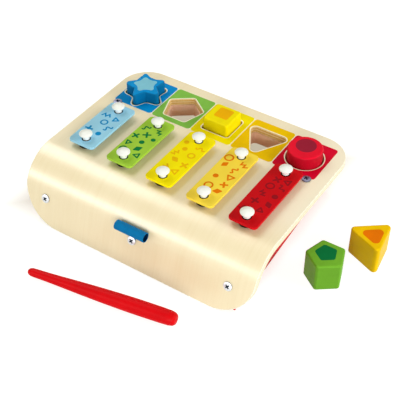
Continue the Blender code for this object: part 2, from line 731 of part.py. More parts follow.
clear_scene()
PARTS = new_collection("xylophone_shape_puzzle")
CUTTERS = new_collection("cutters")
ROOT = bpy.data.objects.new("set_root", None)
PARTS.objects.link(ROOT)
make_cover()
make_hole_plate()
make_side_panel(-1, "side_panel_left")
make_side_panel(1, "side_panel_right")
make_bars()
make_blocks()
make_screws()
make_loop()
make_mallet()
centre_on_origin()
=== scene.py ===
"""The looks of the wooden xylophone with a shape puzzle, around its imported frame.

Metres, +Z up, the front towards -Y. Pieces are made about the middle of the flap's foot and then moved to
where the cover's box in the frame says that the foot is.
"""

import random
from math import asin, atan2, ceil, copysign, cos, pi, radians, sin, sqrt, tan, tau

import bmesh
import bpy
from mathutils import Euler, Matrix, Quaternion, Vector
from mathutils.geometry import tessellate_polygon


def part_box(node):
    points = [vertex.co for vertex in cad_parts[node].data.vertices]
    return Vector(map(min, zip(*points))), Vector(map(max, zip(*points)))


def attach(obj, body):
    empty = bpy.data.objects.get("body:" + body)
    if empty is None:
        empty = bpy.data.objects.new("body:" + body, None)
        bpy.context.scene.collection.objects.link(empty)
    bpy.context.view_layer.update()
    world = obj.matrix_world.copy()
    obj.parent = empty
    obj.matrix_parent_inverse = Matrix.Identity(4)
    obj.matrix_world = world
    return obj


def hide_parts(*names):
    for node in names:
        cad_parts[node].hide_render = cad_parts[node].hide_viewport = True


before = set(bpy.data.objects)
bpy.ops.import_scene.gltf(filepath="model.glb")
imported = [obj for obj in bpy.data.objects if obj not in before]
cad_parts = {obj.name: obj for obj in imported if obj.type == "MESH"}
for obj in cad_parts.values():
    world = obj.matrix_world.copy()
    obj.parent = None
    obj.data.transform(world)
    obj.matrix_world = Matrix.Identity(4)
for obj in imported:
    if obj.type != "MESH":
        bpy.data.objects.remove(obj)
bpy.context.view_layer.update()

# Fineness of the meshes
ARC_STEP = radians(6)
SHARP_ANGLE = radians(32)
CAP_ANGLE = radians(2)
CIRCLE_SIDES = 96
HOLE_SIDES = 32
MOTIF_SIDES = 40
SCREW_SIDES = 48
BORE_SIDES = 60
TURNED_SIDES = 64
RIM_STEPS = 4
BLOCK_RIM_STEPS = 7
WAVE_STEPS = 24
MALLET_STEPS = 60
BEND_STRIPS = 48
WELD_DISTANCE = 0.000001

# Printed films, and the gap between pieces that sit on each other
FILM = 0.00005
PRINT_FILM = 0.00003
SEAT_GAP = 0.0003

# Depth of each surface's relief
FINE_RELIEF = 0.00001
INK_RELIEF = 0.00002
FAINT_RELIEF = 0.00004
PAINT_RELIEF = 0.00005
BLOCK_RELIEF = 0.00006
FIBRE_RELIEF = 0.00008

# Bars
BAR_PITCH = 0.0434
BAR_WIDTH = 0.0275
BAR_THICKNESS = 0.0025
BAR_CORNER_RADIUS = 0.004
BAR_RIM = 0.0005
BAR_LIFT = 0.0045
BAR_END_TO_PIN = 0.0092
SHORTEST_PIN_SPACING = 0.0482
PIN_SPACING_STEP = 0.00403
COLOURS = ("blue", "green", "yellow", "amber", "red")

# Print on the bars
MOTIF_KINDS = ("ring", "wave", "cross", "triangle", "dot", "zigzag", "diamond")
MOTIF_SIZES = (0.0074, 0.0094)
MOTIF_LINE = 0.0015
MOTIF_SPACING = 0.0093
MOTIF_TO_EDGE = 0.005
MOTIF_TO_PIN = 0.0106
MOTIF_TRIES = 4000
MOTIF_SEED = 11

# Pins and sleeves
PIN_HEAD_DIAMETER = 0.012
PIN_HEAD_HEIGHT = 0.0032
PIN_HEAD_RIM = 0.001
PIN_HEAD_CLEARANCE = 0.0046
PIN_NECK_DIAMETER = 0.0062
PIN_SHANK_DIAMETER = 0.003
SLEEVE_COLLAR_DIAMETER = 0.0073
SLEEVE_WASHER_DIAMETER = 0.0142
BAR_HOLE_DIAMETER = 0.0082
PIN_SOFTENING = 0.0004
SLEEVE_SOFTENING = 0.0005

# Puzzle. The seated blocks' tops lie lower than their full height, each by its own drop
PUZZLE_BEHIND_BARS = 0.026
PLATE_HOLE_STEP = 0.0005
BLOCK_CLEARANCE = 0.0006
BLOCK_HEIGHT = 0.0285
BLOCK_PROUD = 0.013
TOP_DROPS = {"star": 0.0016, "square": 0.0013, "circle": 0.0011}
BLOCK_RIM = 0.0018
BLOCK_CORNER_ROUNDING = 0.0028
STAR_TIP_RADIUS = 0.0248
STAR_WAIST_RADIUS = 0.0127
STAR_TIP_ROUNDING = 0.0037
STAR_WAIST_ROUNDING = 0.0048
WAIST_CREASE = 0.0006
PENTAGON_RADIUS = 0.0196
PENTAGON_ROUNDING = 0.0025
SQUARE_SIDE = 0.0288
SQUARE_ROUNDING = 0.003
TRIANGLE_RADIUS = 0.0242
TRIANGLE_ROUNDING = 0.0042
TRIANGLE_SET_BACK = 0.003
CIRCLE_DIAMETER = 0.0342
SHAPES = ("star", "pentagon", "square", "triangle", "circle")

# Prints round the holes: the patches, and the bare ring inside each
PATCH_GAP = 0.0009
PATCH_FRONT = 0.0229
PATCH_REAR = 0.025
PATCH_CORNER = 0.003
BARE_RING = 0.0013

# Small shape on each block: how far inside the hole's edge it lies, its corners' rounding and its shift
BADGES = {
    "star": (0.0048, 0.0024, (0, 0)),
    "pentagon": (0.0076, 0.0024, (0.0006, -0.0011)),
    "square": (0.0072, 0.002, (0.0006, 0.002)),
    "triangle": (0.0052, 0.004, (0.0004, -0.0017)),
    "circle": (0.0078, 0, (-0.0006, 0.0023)),
}

# Cover
COVER_HEIGHT = 0.058
PLY_THICKNESS = 0.0068
BEND_RADIUS = 0.0372
FLAP_LEAN = radians(17.2)
FLAP_CORNER_RADIUS = 0.0385
REAR_CORNER_RADIUS = 0.0284
SIDE_MARGIN = 0.0332
FRONT_PIN_INSET = 0.0057
REAR_MARGIN = 0.0367
COVER_RIM = 0.0008
HOLE_RIM = 0.0004
PLIES = 5

# Wooden base
PANEL_EDGE = 0.0008
PLATE_EDGE = 0.0006
EDGE_SEGMENTS = 4
EDGE_ANGLE = radians(50)

# Screws. The cross that cuts the recess has its own shares of span and width at its bottom and top
SCREW_HEAD_DIAMETER = 0.0082
SCREW_HEAD_HEIGHT = 0.0012
SCREW_HEAD_RIM = 0.0005
SCREW_SHANK_DIAMETER = 0.0034
SCREW_LENGTH = 0.018
LOOP_SCREW_LENGTH = 0.007
SCREW_SOFTENING = 0.0002
RIM_SHARE = 0.95
CROSS_SPAN = 0.0054
CROSS_WIDTH = 0.0016
CROSS_DEPTH = 0.0013
CROSS_BOTTOM_SHARES = (0.45, 0.6)
CROSS_TOP_SHARES = (1.3, 1.1)
FLAP_SCREW_INSET = 0.0236
FLAP_SCREW_ALONG = 0.027
TOP_SCREW_INSET = 0.018
TOP_SCREW_FROM_PUZZLE = 0.025

# Mallet loop
LOOP_LENGTH = 0.0305
LOOP_DIAMETER = 0.009
LOOP_WALL = 0.0007
LOOP_RIM = 0.0003
LOOP_FOOT_WIDTH = 0.005
LOOP_ABOVE_SCREW = 0.0105
TONGUE_WIDTH = 0.0066
TONGUE_THICKNESS = 0.0005

# Mallet: radii at shares of its length, with a smooth curve between the two stations given by place
MALLET_LENGTH = 0.1419
MALLET_THICK_RADIUS = 0.00675
MALLET_SOFTENING = 0.0004
MALLET_SHARES = (
    (0, 0), (0.006, 0.3), (0.016, 0.46), (0.03, 0.545),
    (0.1, 0.585), (0.19, 0.645), (0.29, 0.735), (0.38, 0.815),
    (0.53, 0.925), (0.69, 0.995), (0.8, 1), (0.9, 0.985),
    (0.955, 0.95), (0.98, 0.84), (0.993, 0.64), (1, 0),
)
CURVE_START = 3
CURVE_END = -5
MALLET_REST_TILT = radians(1.4)

# Where the loose things lie, from the middle of the flap's foot
PENTAGON_PLACE = (0.1476, 0.082)
PENTAGON_TURN = radians(180.8)
TRIANGLE_PLACE = (0.1699, 0.1254)
TRIANGLE_TURN = radians(37.6)
MALLET_PLACE = (0.0035, -0.0433)
MALLET_TURN = radians(9.1)

# Camera, from the middle of the flap's foot
CAMERA_PLACE = Vector((0.35778, -0.4311, 0.58914))
CAMERA_AZIMUTH = radians(33.314)
CAMERA_ELEVATION = radians(42.523)
CAMERA_LENS = 83.69
SENSOR = 36
CLIP_START = 0.01

# Lamps: place, width, height, power, roll, and whether they light matt surfaces too
LAMP_AIM = Vector((0, 0, 0.05))
LAMPS = {
    "key_box": ((-0.99, 0.27, 1.3), 0.8, 0.8, 8.2, 0, True),
    "right_box": ((1.5, 0.6, 0.75), 1.2, 0.8, 17, 0, True),
    "front_box": ((0.75, -1.35, 0.45), 1.4, 0.9, 17.5, 0, True),
    "left_strip": ((-0.85, -1.37, 0.58), 1.2, 0.3, 8, radians(35), False),
}

# Floor, and the painted shadow in its glow under the toy: shift, reach past the cover, and fade
FLOOR_HALF_SIZE = 6
SHADE_SHIFT = (-0.02, 0.03)
SHADE_REACH = (0.01, 0.035)
SHADE_FADE = 0.04

# Sizes that follow from those above
LANES = len(COLOURS)
LONGEST_PIN_SPACING = SHORTEST_PIN_SPACING + (LANES - 1) * PIN_SPACING_STEP
LONGEST_BAR = LONGEST_PIN_SPACING + 2 * BAR_END_TO_PIN
COVER_WIDTH = (LANES - 1) * BAR_PITCH + 2 * SIDE_MARGIN
BEND_LENGTH = BEND_RADIUS * (pi / 2 - FLAP_LEAN)
FLAP_LENGTH = (COVER_HEIGHT - BEND_RADIUS * (1 - sin(FLAP_LEAN))) / cos(FLAP_LEAN)
BEND_CENTRE_Z = COVER_HEIGHT - BEND_RADIUS
TOP_START_Y = FLAP_LENGTH * sin(FLAP_LEAN) + BEND_RADIUS * cos(FLAP_LEAN)
BAR_ROW_Y = TOP_START_Y + FRONT_PIN_INSET + LONGEST_PIN_SPACING / 2
PUZZLE_Y = BAR_ROW_Y + LONGEST_BAR / 2 + PUZZLE_BEHIND_BARS
COVER_DEPTH = PUZZLE_Y + REAR_MARGIN
BAR_UNDERSIDE = COVER_HEIGHT + BAR_LIFT
FLAP_SCREW_X = COVER_WIDTH / 2 - FLAP_SCREW_INSET
TOP_SCREW_X = COVER_WIDTH / 2 - TOP_SCREW_INSET
TOP_SCREW_Y = PUZZLE_Y - TOP_SCREW_FROM_PUZZLE
LOOP_ALONG = FLAP_SCREW_ALONG + LOOP_ABOVE_SCREW
TONGUE_TOP = SEAT_GAP + (LOOP_WALL + TONGUE_THICKNESS) / 2
SCREW_HOLE_DIAMETER = SCREW_SHANK_DIAMETER + 2 * SEAT_GAP
CUT_FACE_DEPTH = COVER_RIM / 50
HOLES_HALF_WIDTH = COVER_WIDTH / 2 - SIDE_MARGIN / 4

COVER_LOW, COVER_HIGH = (Vector(corner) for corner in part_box("plywood_cover"))
FOOT = Vector(((COVER_LOW.x + COVER_HIGH.x) / 2, COVER_LOW.y, 0))


# Outlines


def corner_arc(centre, radius, first, last):
    """Points of an arc from one angle to the other, both ends included."""
    count = max(1, ceil(abs(last - first) / ARC_STEP))
    angles = (first + (last - first) * i / count for i in range(count + 1))
    return [centre + radius * Vector((cos(a), sin(a))) for a in angles]


def rounded(corners, radii):
    """A closed outline through these corners, each rounded by its own radius. Zero keeps a corner sharp."""
    outline = []
    for i, corner in enumerate(corners):
        radius = radii[i]
        if not radius:
            outline.append(corner.copy())
            continue
        into = (corner - corners[i - 1]).normalized()
        out = (corners[(i + 1) % len(corners)] - corner).normalized()
        turn = atan2(into.cross(out), into.dot(out))
        side = copysign(1, turn)
        centre = corner - into * radius * tan(abs(turn) / 2) + side * radius * into.orthogonal()
        first = atan2(-side * into.orthogonal().y, -side * into.orthogonal().x)
        outline += corner_arc(centre, radius, first, first + turn)
    return outline


def moved_in(corners, distance):
    """The outline that lies this far to the left of one that is walked in its own order."""
    moved = []
    for i, corner in enumerate(corners):
        into = (corner - corners[i - 1]).normalized()
        out = (corners[(i + 1) % len(corners)] - corner).normalized()
        inward = into.orthogonal() + out.orthogonal()
        moved.append(corner + inward * distance / (1 + into.dot(out)))
    return moved


def ring_of_points(count, radii, first_angle):
    """Corners round a centre, with the radii used in turn."""
    angles = (first_angle + tau * i / count for i in range(count))
    return [radii[i % len(radii)] * Vector((cos(a), sin(a))) for i, a in enumerate(angles)]


def rectangle(x0, y0, x1, y1):
    return [Vector((x0, y0)), Vector((x1, y0)), Vector((x1, y1)), Vector((x0, y1))]


def placed(outline, centre):
    return [point + Vector(centre) for point in outline]


def circle(diameter, sides=HOLE_SIDES, centre=(0, 0)):
    return placed(ring_of_points(sides, (diameter / 2,), 0), centre)


def shape_outline(shape, inset=0, least_rounding=0, waist=STAR_WAIST_ROUNDING):
    """The outline of a puzzle shape about its own centre, this far inside the edge of the cover's hole."""
    if shape == "circle":
        return circle(CIRCLE_DIAMETER - 2 * inset, CIRCLE_SIDES)
    count, radii, first_angle, rounding = {
        "star": (10, (STAR_TIP_RADIUS, STAR_WAIST_RADIUS), -pi / 2, STAR_TIP_ROUNDING),
        "pentagon": (5, (PENTAGON_RADIUS,), pi / 2, PENTAGON_ROUNDING),
        "square": (4, (SQUARE_SIDE / sqrt(2),), pi / 4, SQUARE_ROUNDING),
        "triangle": (3, (TRIANGLE_RADIUS,), -pi / 2, TRIANGLE_ROUNDING),
    }[shape]
    corners = ring_of_points(count, radii, first_angle)
    radii = [max(rounding - inset, least_rounding)] * len(corners)
    if shape == "star":
        radii[1::2] = [min(waist + inset, 2 * waist)] * (len(corners) // 2)
    return rounded(moved_in(corners, inset), radii)


def hole_to_block(shape):
    """How far a block lies inside the cover's hole of its shape."""
    return BLOCK_CLEARANCE if shape == "triangle" else PLATE_HOLE_STEP + BLOCK_CLEARANCE


def lane_x(lane):
    """The centre line of a lane, which a bar and a puzzle hole share."""
    return (lane - (LANES - 1) / 2) * BAR_PITCH


def pin_spacing(lane):
    return SHORTEST_PIN_SPACING + lane * PIN_SPACING_STEP


def pin_places(lane):
    half = pin_spacing(lane) / 2
    return {"front": (lane_x(lane), BAR_ROW_Y - half), "rear": (lane_x(lane), BAR_ROW_Y + half)}


def puzzle_places():
    back = {"triangle": TRIANGLE_SET_BACK}
    return {shape: (lane_x(lane), PUZZLE_Y + back.get(shape, 0)) for lane, shape in enumerate(SHAPES)}


# The bent sheet


def sheet_angle(along):
    """How far the bent sheet leans from upright, this far along its outer face from the foot."""
    angle = FLAP_LEAN + (along - FLAP_LENGTH) / BEND_RADIUS
    return min(max(angle, FLAP_LEAN), pi / 2)


def square_to_sheet(along):
    """The turn that stands a piece's own z axis square on the sheet's outer face."""
    return (pi / 2 - sheet_angle(along), 0, 0)


def on_cover(x, along, depth=0):
    """A point of the bent sheet: this far along its outer face from the foot, and this deep in it."""
    angle = sheet_angle(along)
    straight = along - FLAP_LENGTH - (angle - FLAP_LEAN) * BEND_RADIUS
    tangent = Vector((0, sin(angle), cos(angle)))
    inward = Vector((0, cos(angle), -sin(angle)))
    centre = Vector((x, TOP_START_Y, BEND_CENTRE_Z))
    return centre + (depth - BEND_RADIUS) * inward + straight * tangent


def along_top(y):
    """How far along the sheet's outer face a place on the flat top lies."""
    return FLAP_LENGTH + BEND_LENGTH + y - TOP_START_Y


# Where the bars and the patches lie along the sheet
BARS_START = along_top(BAR_ROW_Y - LONGEST_BAR / 2)
PATCHES_START = along_top(PUZZLE_Y - PATCH_FRONT)
PATCHES_END = along_top(PUZZLE_Y + PATCH_REAR)
PATCHES_HALF_WIDTH = LANES * BAR_PITCH / 2


# Meshes


def finished(drawn, name):
    """The drawn shape as a mesh of this name."""
    mesh = bpy.data.meshes.new(name)
    drawn.to_mesh(mesh)
    drawn.free()
    return mesh


def signed_area(outline):
    return sum(a.cross(b) for a, b in zip(outline, outline[1:] + outline[:1])) / 2


def rim_levels(low, high, rim, steps):
    """(inset, height) pairs up a plate's wall, round the rim at its underside and at its top."""
    if not rim:
        return [(0, low), (0, high)]
    turns = [pi / 2 * i / steps for i in range(steps + 1)]
    under = [(rim * (1 - sin(a)), low + rim * (1 - cos(a))) for a in turns]
    over = [(rim * (1 - cos(a)), high - rim * (1 - sin(a))) for a in turns]
    return under + over


def add_plate(drawn, outlines, low, high, rims=(0,), steps=RIM_STEPS):
    """Adds a flat plate from its outer outline and its holes. The last of the rims serves the rest."""
    loops = []
    for i, outline in enumerate(outlines):
        if (signed_area(outline) < 0) == (i == 0):
            outline = outline[::-1]
        rim = rims[min(i, len(rims) - 1)]
        levels = []
        for inset, height in rim_levels(low, high, rim, steps):
            ring = moved_in(outline, inset) if inset else outline
            levels.append([drawn.verts.new((x, y, height)) for x, y in ring])
        for lower, upper in zip(levels, levels[1:]):
            for j in range(len(lower)):
                k = (j + 1) % len(lower)
                drawn.faces.new((lower[j], lower[k], upper[k], upper[j]))
        loops.append((levels[0], levels[-1]))
    for side, up in ((0, False), (1, True)):
        rings = [loop[side] for loop in loops]
        corners = [vertex for ring in rings for vertex in ring]
        for triangle in tessellate_polygon([[vertex.co for vertex in ring] for ring in rings]):
            a, b, c = (corners[i] for i in triangle)
            if ((b.co - a.co).cross(c.co - a.co).z > 0) != up:
                b, c = c, b
            drawn.faces.new((a, b, c))


def flat_normals(drawn):
    """Each vertex's own normal: a cap's where it borders one, else the mean of its faces by area."""
    drawn.normal_update()
    normals = []
    for vertex in drawn.verts:
        caps = [face.normal for face in vertex.link_faces if abs(face.normal.z) > cos(CAP_ANGLE)]
        if caps:
            normals.append(caps[0].copy())
            continue
        weighted = (face.normal * face.calc_area() for face in vertex.link_faces)
        normals.append(sum(weighted, Vector()).normalized())
    return normals


def plate_mesh(name, outlines, low, high, rims=(0,), steps=RIM_STEPS):
    drawn = bmesh.new()
    add_plate(drawn, outlines, low, high, rims, steps)
    normals = flat_normals(drawn)
    mesh = finished(drawn, name)
    if rims[0]:
        mesh.shade_smooth()
        mesh.normals_split_custom_set_from_vertices(normals)
    return mesh


def crease(sheet):
    """Cuts a flat sheet into narrow strips where the cover bends."""
    for i in range(BEND_STRIPS + 1):
        place = (0, FLAP_LENGTH + BEND_LENGTH * i / BEND_STRIPS, 0)
        geom = sheet.verts[:] + sheet.edges[:] + sheet.faces[:]
        bmesh.ops.bisect_plane(sheet, geom=geom, dist=WELD_DISTANCE, plane_co=place, plane_no=(0, 1, 0))


def wrapped_mesh(name, outlines, outer_height, thickness, rims):
    """A plate drawn flat in the sheet's own measures, then laid over the bend, this high over the cover."""
    sheet = bmesh.new()
    add_plate(sheet, outlines, outer_height - thickness, outer_height, rims)
    crease(sheet)
    normals = flat_normals(sheet)
    places = sheet.verts.layers.float_vector.new("sheet")
    for vertex, normal in zip(sheet.verts, normals):
        x, along, height = vertex.co
        vertex[places] = (x, along, -height)
        normal.rotate(Euler(square_to_sheet(along)))
        vertex.co = on_cover(x, along, -height)
    bmesh.ops.triangulate(sheet, faces=[face for face in sheet.faces if len(face.verts) > 4])
    mesh = finished(sheet, name)
    mesh.shade_smooth()
    mesh.normals_split_custom_set_from_vertices(normals)
    return mesh


def turned_mesh(name, profile, sides=TURNED_SIDES, closed=False):
    """A turned piece from (radius, height) points that run down its outer side."""
    drawn = bmesh.new()
    rings = []
    for radius, height in profile:
        if radius:
            points = ring_of_points(sides, (radius,), 0)
            rings.append([drawn.verts.new((x, y, height)) for x, y in points])
        else:
            rings.append([drawn.verts.new((0, 0, height))])
    for upper, lower in zip(rings, rings[1:] + rings[:1] if closed else rings[1:]):
        for i in range(sides):
            k = (i + 1) % sides
            pairs = ((lower, i), (lower, k), (upper, k), (upper, i))
            drawn.faces.new(list(dict.fromkeys(ring[j % len(ring)] for ring, j in pairs)))
    mesh = finished(drawn, name)
    mesh.shade_smooth()
    mesh.set_sharp_from_angle(angle=SHARP_ANGLE)
    return mesh


def dome(radius, rim_height, top_height, steps=10):
    """A low dome's profile from its top on the axis down to its rim."""
    rise = top_height - rim_height
    sphere = (radius**2 + rise**2) / (2 * rise)
    opening = asin(radius / sphere)
    centre = top_height - sphere
    angles = [opening * i / steps for i in range(steps + 1)]
    return [(sphere * sin(a), centre + sphere * cos(a)) for a in angles]


def softened(profile, radius, steps=3):
    """A profile with its inner corners rounded by up to this radius."""
    points = [Vector(point) for point in profile]
    soft = [profile[0]]
    for before, corner, after in zip(points, points[1:], points[2:]):
        into, out = corner - before, after - corner
        reach = min(radius, into.length / 2.1, out.length / 2.1)
        start = corner - into.normalized() * reach
        end = corner + out.normalized() * reach
        for i in range(steps + 1):
            share = i / steps
            soft.append(tuple(start.lerp(corner, share).lerp(corner.lerp(end, share), share)))
    soft.append(profile[-1])
    return soft


# Materials

BARE = (0, 0, 0, 1)
FULL = (1, 1, 1, 1)


def srgb(red, green, blue):
    """A colour as a picture editor writes it, as the linear colour that a shader takes."""
    shares = (channel / 255 for channel in (red, green, blue))
    return (*(c / 12.92 if c <= 0.04045 else ((c + 0.055) / 1.055) ** 2.4 for c in shares), 1)


def scaled(colour, share):
    return (*(min(channel * share, 1) for channel in colour[:3]), 1)


def grey(share):
    return (share, share, share, 1)


def set_socket(socket, value):
    """Gives a socket a plain value, or links another node's output to it."""
    if isinstance(value, bpy.types.NodeSocket):
        socket.id_data.links.new(value, socket)
    else:
        socket.default_value = value


def having(thing, **settings):
    """The same thing, with these of its settings changed."""
    for name, value in settings.items():
        setattr(thing, name, value)
    return thing


def add(tree, kind, inputs=(), **settings):
    """A node of this kind. Each input takes a plain value or another node's output."""
    node = having(tree.nodes.new("ShaderNode" + kind), **settings)
    for socket, value in dict(inputs).items():
        set_socket(node.inputs[socket], value)
    return node


def maths(operation, *values):
    return add(values[0].id_data, "Math", dict(enumerate(values)), operation=operation).outputs[0]


def noise(place, scale, detail=2, roughness=0.5, distortion=0):
    """Noise over a place whose axes are first scaled, in waves per metre."""
    tree = place.id_data
    inputs = {"Scale": 1, "Detail": detail, "Roughness": roughness, "Distortion": distortion}
    inputs["Vector"] = add(tree, "Mapping", {"Vector": place, "Scale": scale}).outputs[0]
    return add(tree, "TexNoise", inputs).outputs["Fac"]


def ramp(value, *stops):
    """A colour ramp from (position, colour) stops."""
    node = add(value.id_data, "ValToRGB", {"Fac": value})
    elements = node.color_ramp.elements
    while len(elements) < len(stops):
        elements.new(0.5)
    for element, (position, colour) in zip(elements, stops):
        element.position = position
        element.color = colour
    return node.outputs["Color"]


def uneven(clouds, colour, low, high):
    """The colour, wandering with the clouds between these shares of itself."""
    return ramp(clouds, (0.3, scaled(colour, low)), (0.7, scaled(colour, high)))


def mixed(share, first, second, blend="MULTIPLY"):
    node = add(first.id_data, "Mix", data_type="RGBA", blend_type=blend)
    for index, value in ((0, share), (6, first), (7, second)):
        set_socket(node.inputs[index], value)
    return node.outputs[2]


def spread(value, low, high, first=0, last=1):
    """A number between low and high, brought between first and last."""
    inputs = {"Value": value, "From Min": low, "From Max": high, "To Min": first, "To Max": last}
    return add(value.id_data, "MapRange", inputs).outputs["Result"]


def spread_to(value, first, last):
    """Noise stretched to run between these two numbers."""
    return spread(value, 0.3, 0.7, first, last)


def bump(height, distance, strength=1):
    inputs = {"Height": height, "Distance": distance, "Strength": strength}
    return add(height.id_data, "Bump", inputs).outputs["Normal"]


def started(name):
    """A new material and its node tree."""
    material = bpy.data.materials.new(name)
    material.use_nodes = True
    return material, material.node_tree


def fed(material, **sockets):
    """The material, with its shader's sockets set. Their names are written with _ for a space."""
    shader = material.node_tree.nodes["Principled BSDF"]
    for name, value in sockets.items():
        set_socket(shader.inputs[name.replace("_", " ")], value)
    return material


def object_place(tree):
    return add(tree, "TexCoord").outputs["Object"]


def sheet_place(tree):
    """Where a point of the cover lay in the flat sheet: across, along and deep."""
    return add(tree, "Attribute", attribute_name="sheet").outputs["Vector"]


def birch_face():
    """Varnished veneer, grained from flap to rear, with painted light that makes it paler among the patches
    and to the right of the top.
    """
    material, tree = started("birch_face")
    place = sheet_place(tree)
    broad = noise(place, (45, 5, 1), 3, 0.55, 0.6)
    streaks = noise(place, (420, 9, 1), 3, 0.6, 0.3)
    pores = noise(place, (1900, 55, 1))
    tone = ramp(broad, (0.25, srgb(244, 227, 189)), (0.75, srgb(250, 236, 201)))
    lines = ramp(streaks, (0.3, (0.96, 0.94, 0.89, 1)), (0.58, FULL))
    specks = ramp(pores, (0.28, (0.9, 0.85, 0.76, 1)), (0.4, FULL))
    grained = mixed(0.6, tone, lines)
    colour = mixed(0.35, grained, specks)
    # Painted light: the top is painted paler towards its right, and paler still in the row of patches.
    sides = add(tree, "SeparateXYZ", {"Vector": place}).outputs
    row = ((0, BARE), (0.02, FULL), (0.98, FULL), (1, BARE))
    in_length = ramp(spread(sides["Y"], PATCHES_START, PATCHES_END), *row)
    in_width = ramp(spread(sides["X"], -PATCHES_HALF_WIDTH, PATCHES_HALF_WIDTH), *row)
    painted_light_top = ramp(spread(sides["Y"], BARS_START, PATCHES_END), (0, BARE), (0.25, FULL))
    from_middle = spread(sides["X"], 0, COVER_WIDTH / 2)
    painted_light_right = ramp(from_middle, (0, BARE), (1, grey(0.75)))
    colour = mixed(mixed(1, painted_light_top, painted_light_right), colour, srgb(255, 246, 226), "MIX")
    painted_light_among_patches = mixed(1, in_length, in_width)
    colour = mixed(painted_light_among_patches, colour, srgb(255, 250, 228), "MIX")
    return fed(
        material, Base_Color=colour, Roughness=spread_to(streaks, 0.36, 0.48), Specular_IOR_Level=0.1,
        Coat_Weight=1, Coat_Roughness=0.34, Coat_IOR=2, Normal=bump(streaks, FAINT_RELIEF, 0.4),
    )


def ply_edge(name, pale, brown):
    """The plies on a cut edge, in two tones in turn."""
    material, tree = started(name)
    place = sheet_place(tree)
    depth = add(tree, "SeparateXYZ", {"Vector": place}).outputs["Z"]
    share = maths("FRACT", maths("MULTIPLY", depth, PLIES / PLY_THICKNESS / 2))
    layers = ramp(share, (0, pale), (0.48, pale), (0.54, brown), (0.96, brown), (1, pale))
    fibres = noise(place, (900, 900, 300), 3, 0.6)
    fine = ramp(fibres, (0.3, (0.82, 0.76, 0.66, 1)), (0.6, FULL))
    return fed(
        material, Base_Color=mixed(0.6, layers, fine), Roughness=spread_to(fibres, 0.5, 0.65),
        Specular_IOR_Level=0.2, Normal=bump(fibres, FIBRE_RELIEF, 0.6),
    )


def stained_wood(name, light, dark, scale):
    """Solid wood under a thin stain that lets its grain show."""
    material, tree = started(name)
    place = object_place(tree)
    figure = noise(place, scale, 4, 0.6, 0.8)
    fibres = noise(place, tuple(6 * s for s in scale))
    tone = ramp(figure, (0.3, dark), (0.68, light))
    lines = ramp(fibres, (0.3, (0.92, 0.88, 0.88, 1)), (0.55, FULL))
    return fed(
        material, Base_Color=mixed(0.7, tone, lines), Roughness=spread_to(fibres, 0.4, 0.55),
        Specular_IOR_Level=0.1, Normal=bump(fibres, FIBRE_RELIEF, 0.5),
    )


def paint(name, colour, roughness=0.42, gloss=0.06, relief=PAINT_RELIEF, grain=(260, 40, 260), sides=None):
    """Lacquered paint, slightly uneven in tone, with the wood's grain faint in its relief.

    sides is a share and a direction for painted shade: faces that turn away from the direction are painted
    darker, down to the share.
    """
    material, tree = started(name)
    place = object_place(tree)
    clouds = noise(place, (70, 70, 70), 3, 0.5)
    fibres = noise(place, grain, 3, 0.55, 0.2)
    base = uneven(clouds, colour, 0.94, 1.05)
    # Painted shade: faces turned away from the given direction are painted darker, as if lit from that side.
    if sides:
        share, towards = sides
        normal = add(tree, "NewGeometry").outputs["Normal"]
        facing = add(tree, "VectorMath", {0: normal, 1: towards}, operation="DOT_PRODUCT").outputs["Value"]
        painted_side_shade = ramp(facing, (0.1, grey(share)), (0.8, FULL))
        base = mixed(1, base, painted_side_shade)
    faint = ramp(fibres, (0.3, grey(0.93)), (0.6, FULL))
    return fed(
        material, Base_Color=mixed(0.5, base, faint),
        Roughness=spread_to(fibres, roughness - 0.05, roughness + 0.08), Specular_IOR_Level=gloss,
        Normal=bump(fibres, relief, 0.6),
    )


def enamel(name, colour):
    """Stove enamel on a metal bar, with a very fine orange peel."""
    material, tree = started(name)
    place = object_place(tree)
    clouds = noise(place, (30, 30, 30))
    peel = noise(place, (900, 900, 900))
    return fed(
        material, Base_Color=uneven(clouds, colour, 0.95, 1.05), Roughness=spread_to(peel, 0.3, 0.4),
        Specular_IOR_Level=0.06, Normal=bump(peel, FINE_RELIEF, 0.5),
    )


def plastic(name, colour, roughness, ior=1.45):
    """Moulded plastic or rubber with a fine sparked grain."""
    material, tree = started(name)
    place = object_place(tree)
    clouds = noise(place, (120, 120, 120))
    grain = noise(place, (2500, 2500, 2500), 2, 0.6)
    return fed(
        material, Base_Color=uneven(clouds, colour, 0.96, 1.03),
        Roughness=spread_to(grain, roughness - 0.05, roughness + 0.08), IOR=ior,
        Normal=bump(grain, FINE_RELIEF, 0.5),
    )


def zinc_steel(name, dark, light):
    """Plated steel with the rings of its turning."""
    material, tree = started(name)
    place = object_place(tree)
    clouds = noise(place, (600, 600, 600), 3, 0.6)
    inputs = {"Vector": place, "Scale": 500, "Distortion": 1.5, "Detail": 2}
    rings = add(tree, "TexWave", inputs, wave_type="RINGS", rings_direction="Z").outputs["Fac"]
    return fed(
        material, Base_Color=ramp(clouds, (0.3, dark), (0.7, light)), Metallic=1,
        Roughness=spread_to(clouds, 0.38, 0.5), Normal=bump(rings, FINE_RELIEF, 0.4),
    )


def woven_band(name, colour):
    """A tightly woven synthetic band: ribs across each other in its relief and its tone."""
    material, tree = started(name)
    place = object_place(tree)
    inputs = {"Vector": place, "Scale": 420, "Distortion": 0.4}
    ribs = [add(tree, "TexWave", inputs, bands_direction=axis).outputs["Fac"] for axis in "XY"]
    weave = maths("MULTIPLY", *ribs)
    clouds = noise(place, (200, 200, 200), 3, 0.6)
    tone = uneven(clouds, colour, 0.9, 1.06)
    threads = ramp(weave, (0, grey(0.86)), (0.6, FULL))
    return fed(
        material, Base_Color=mixed(0.7, tone, threads),
        Roughness=spread_to(clouds, 0.5, 0.65), Specular_IOR_Level=0.08,
        Normal=bump(weave, FIBRE_RELIEF, 0.5),
    )


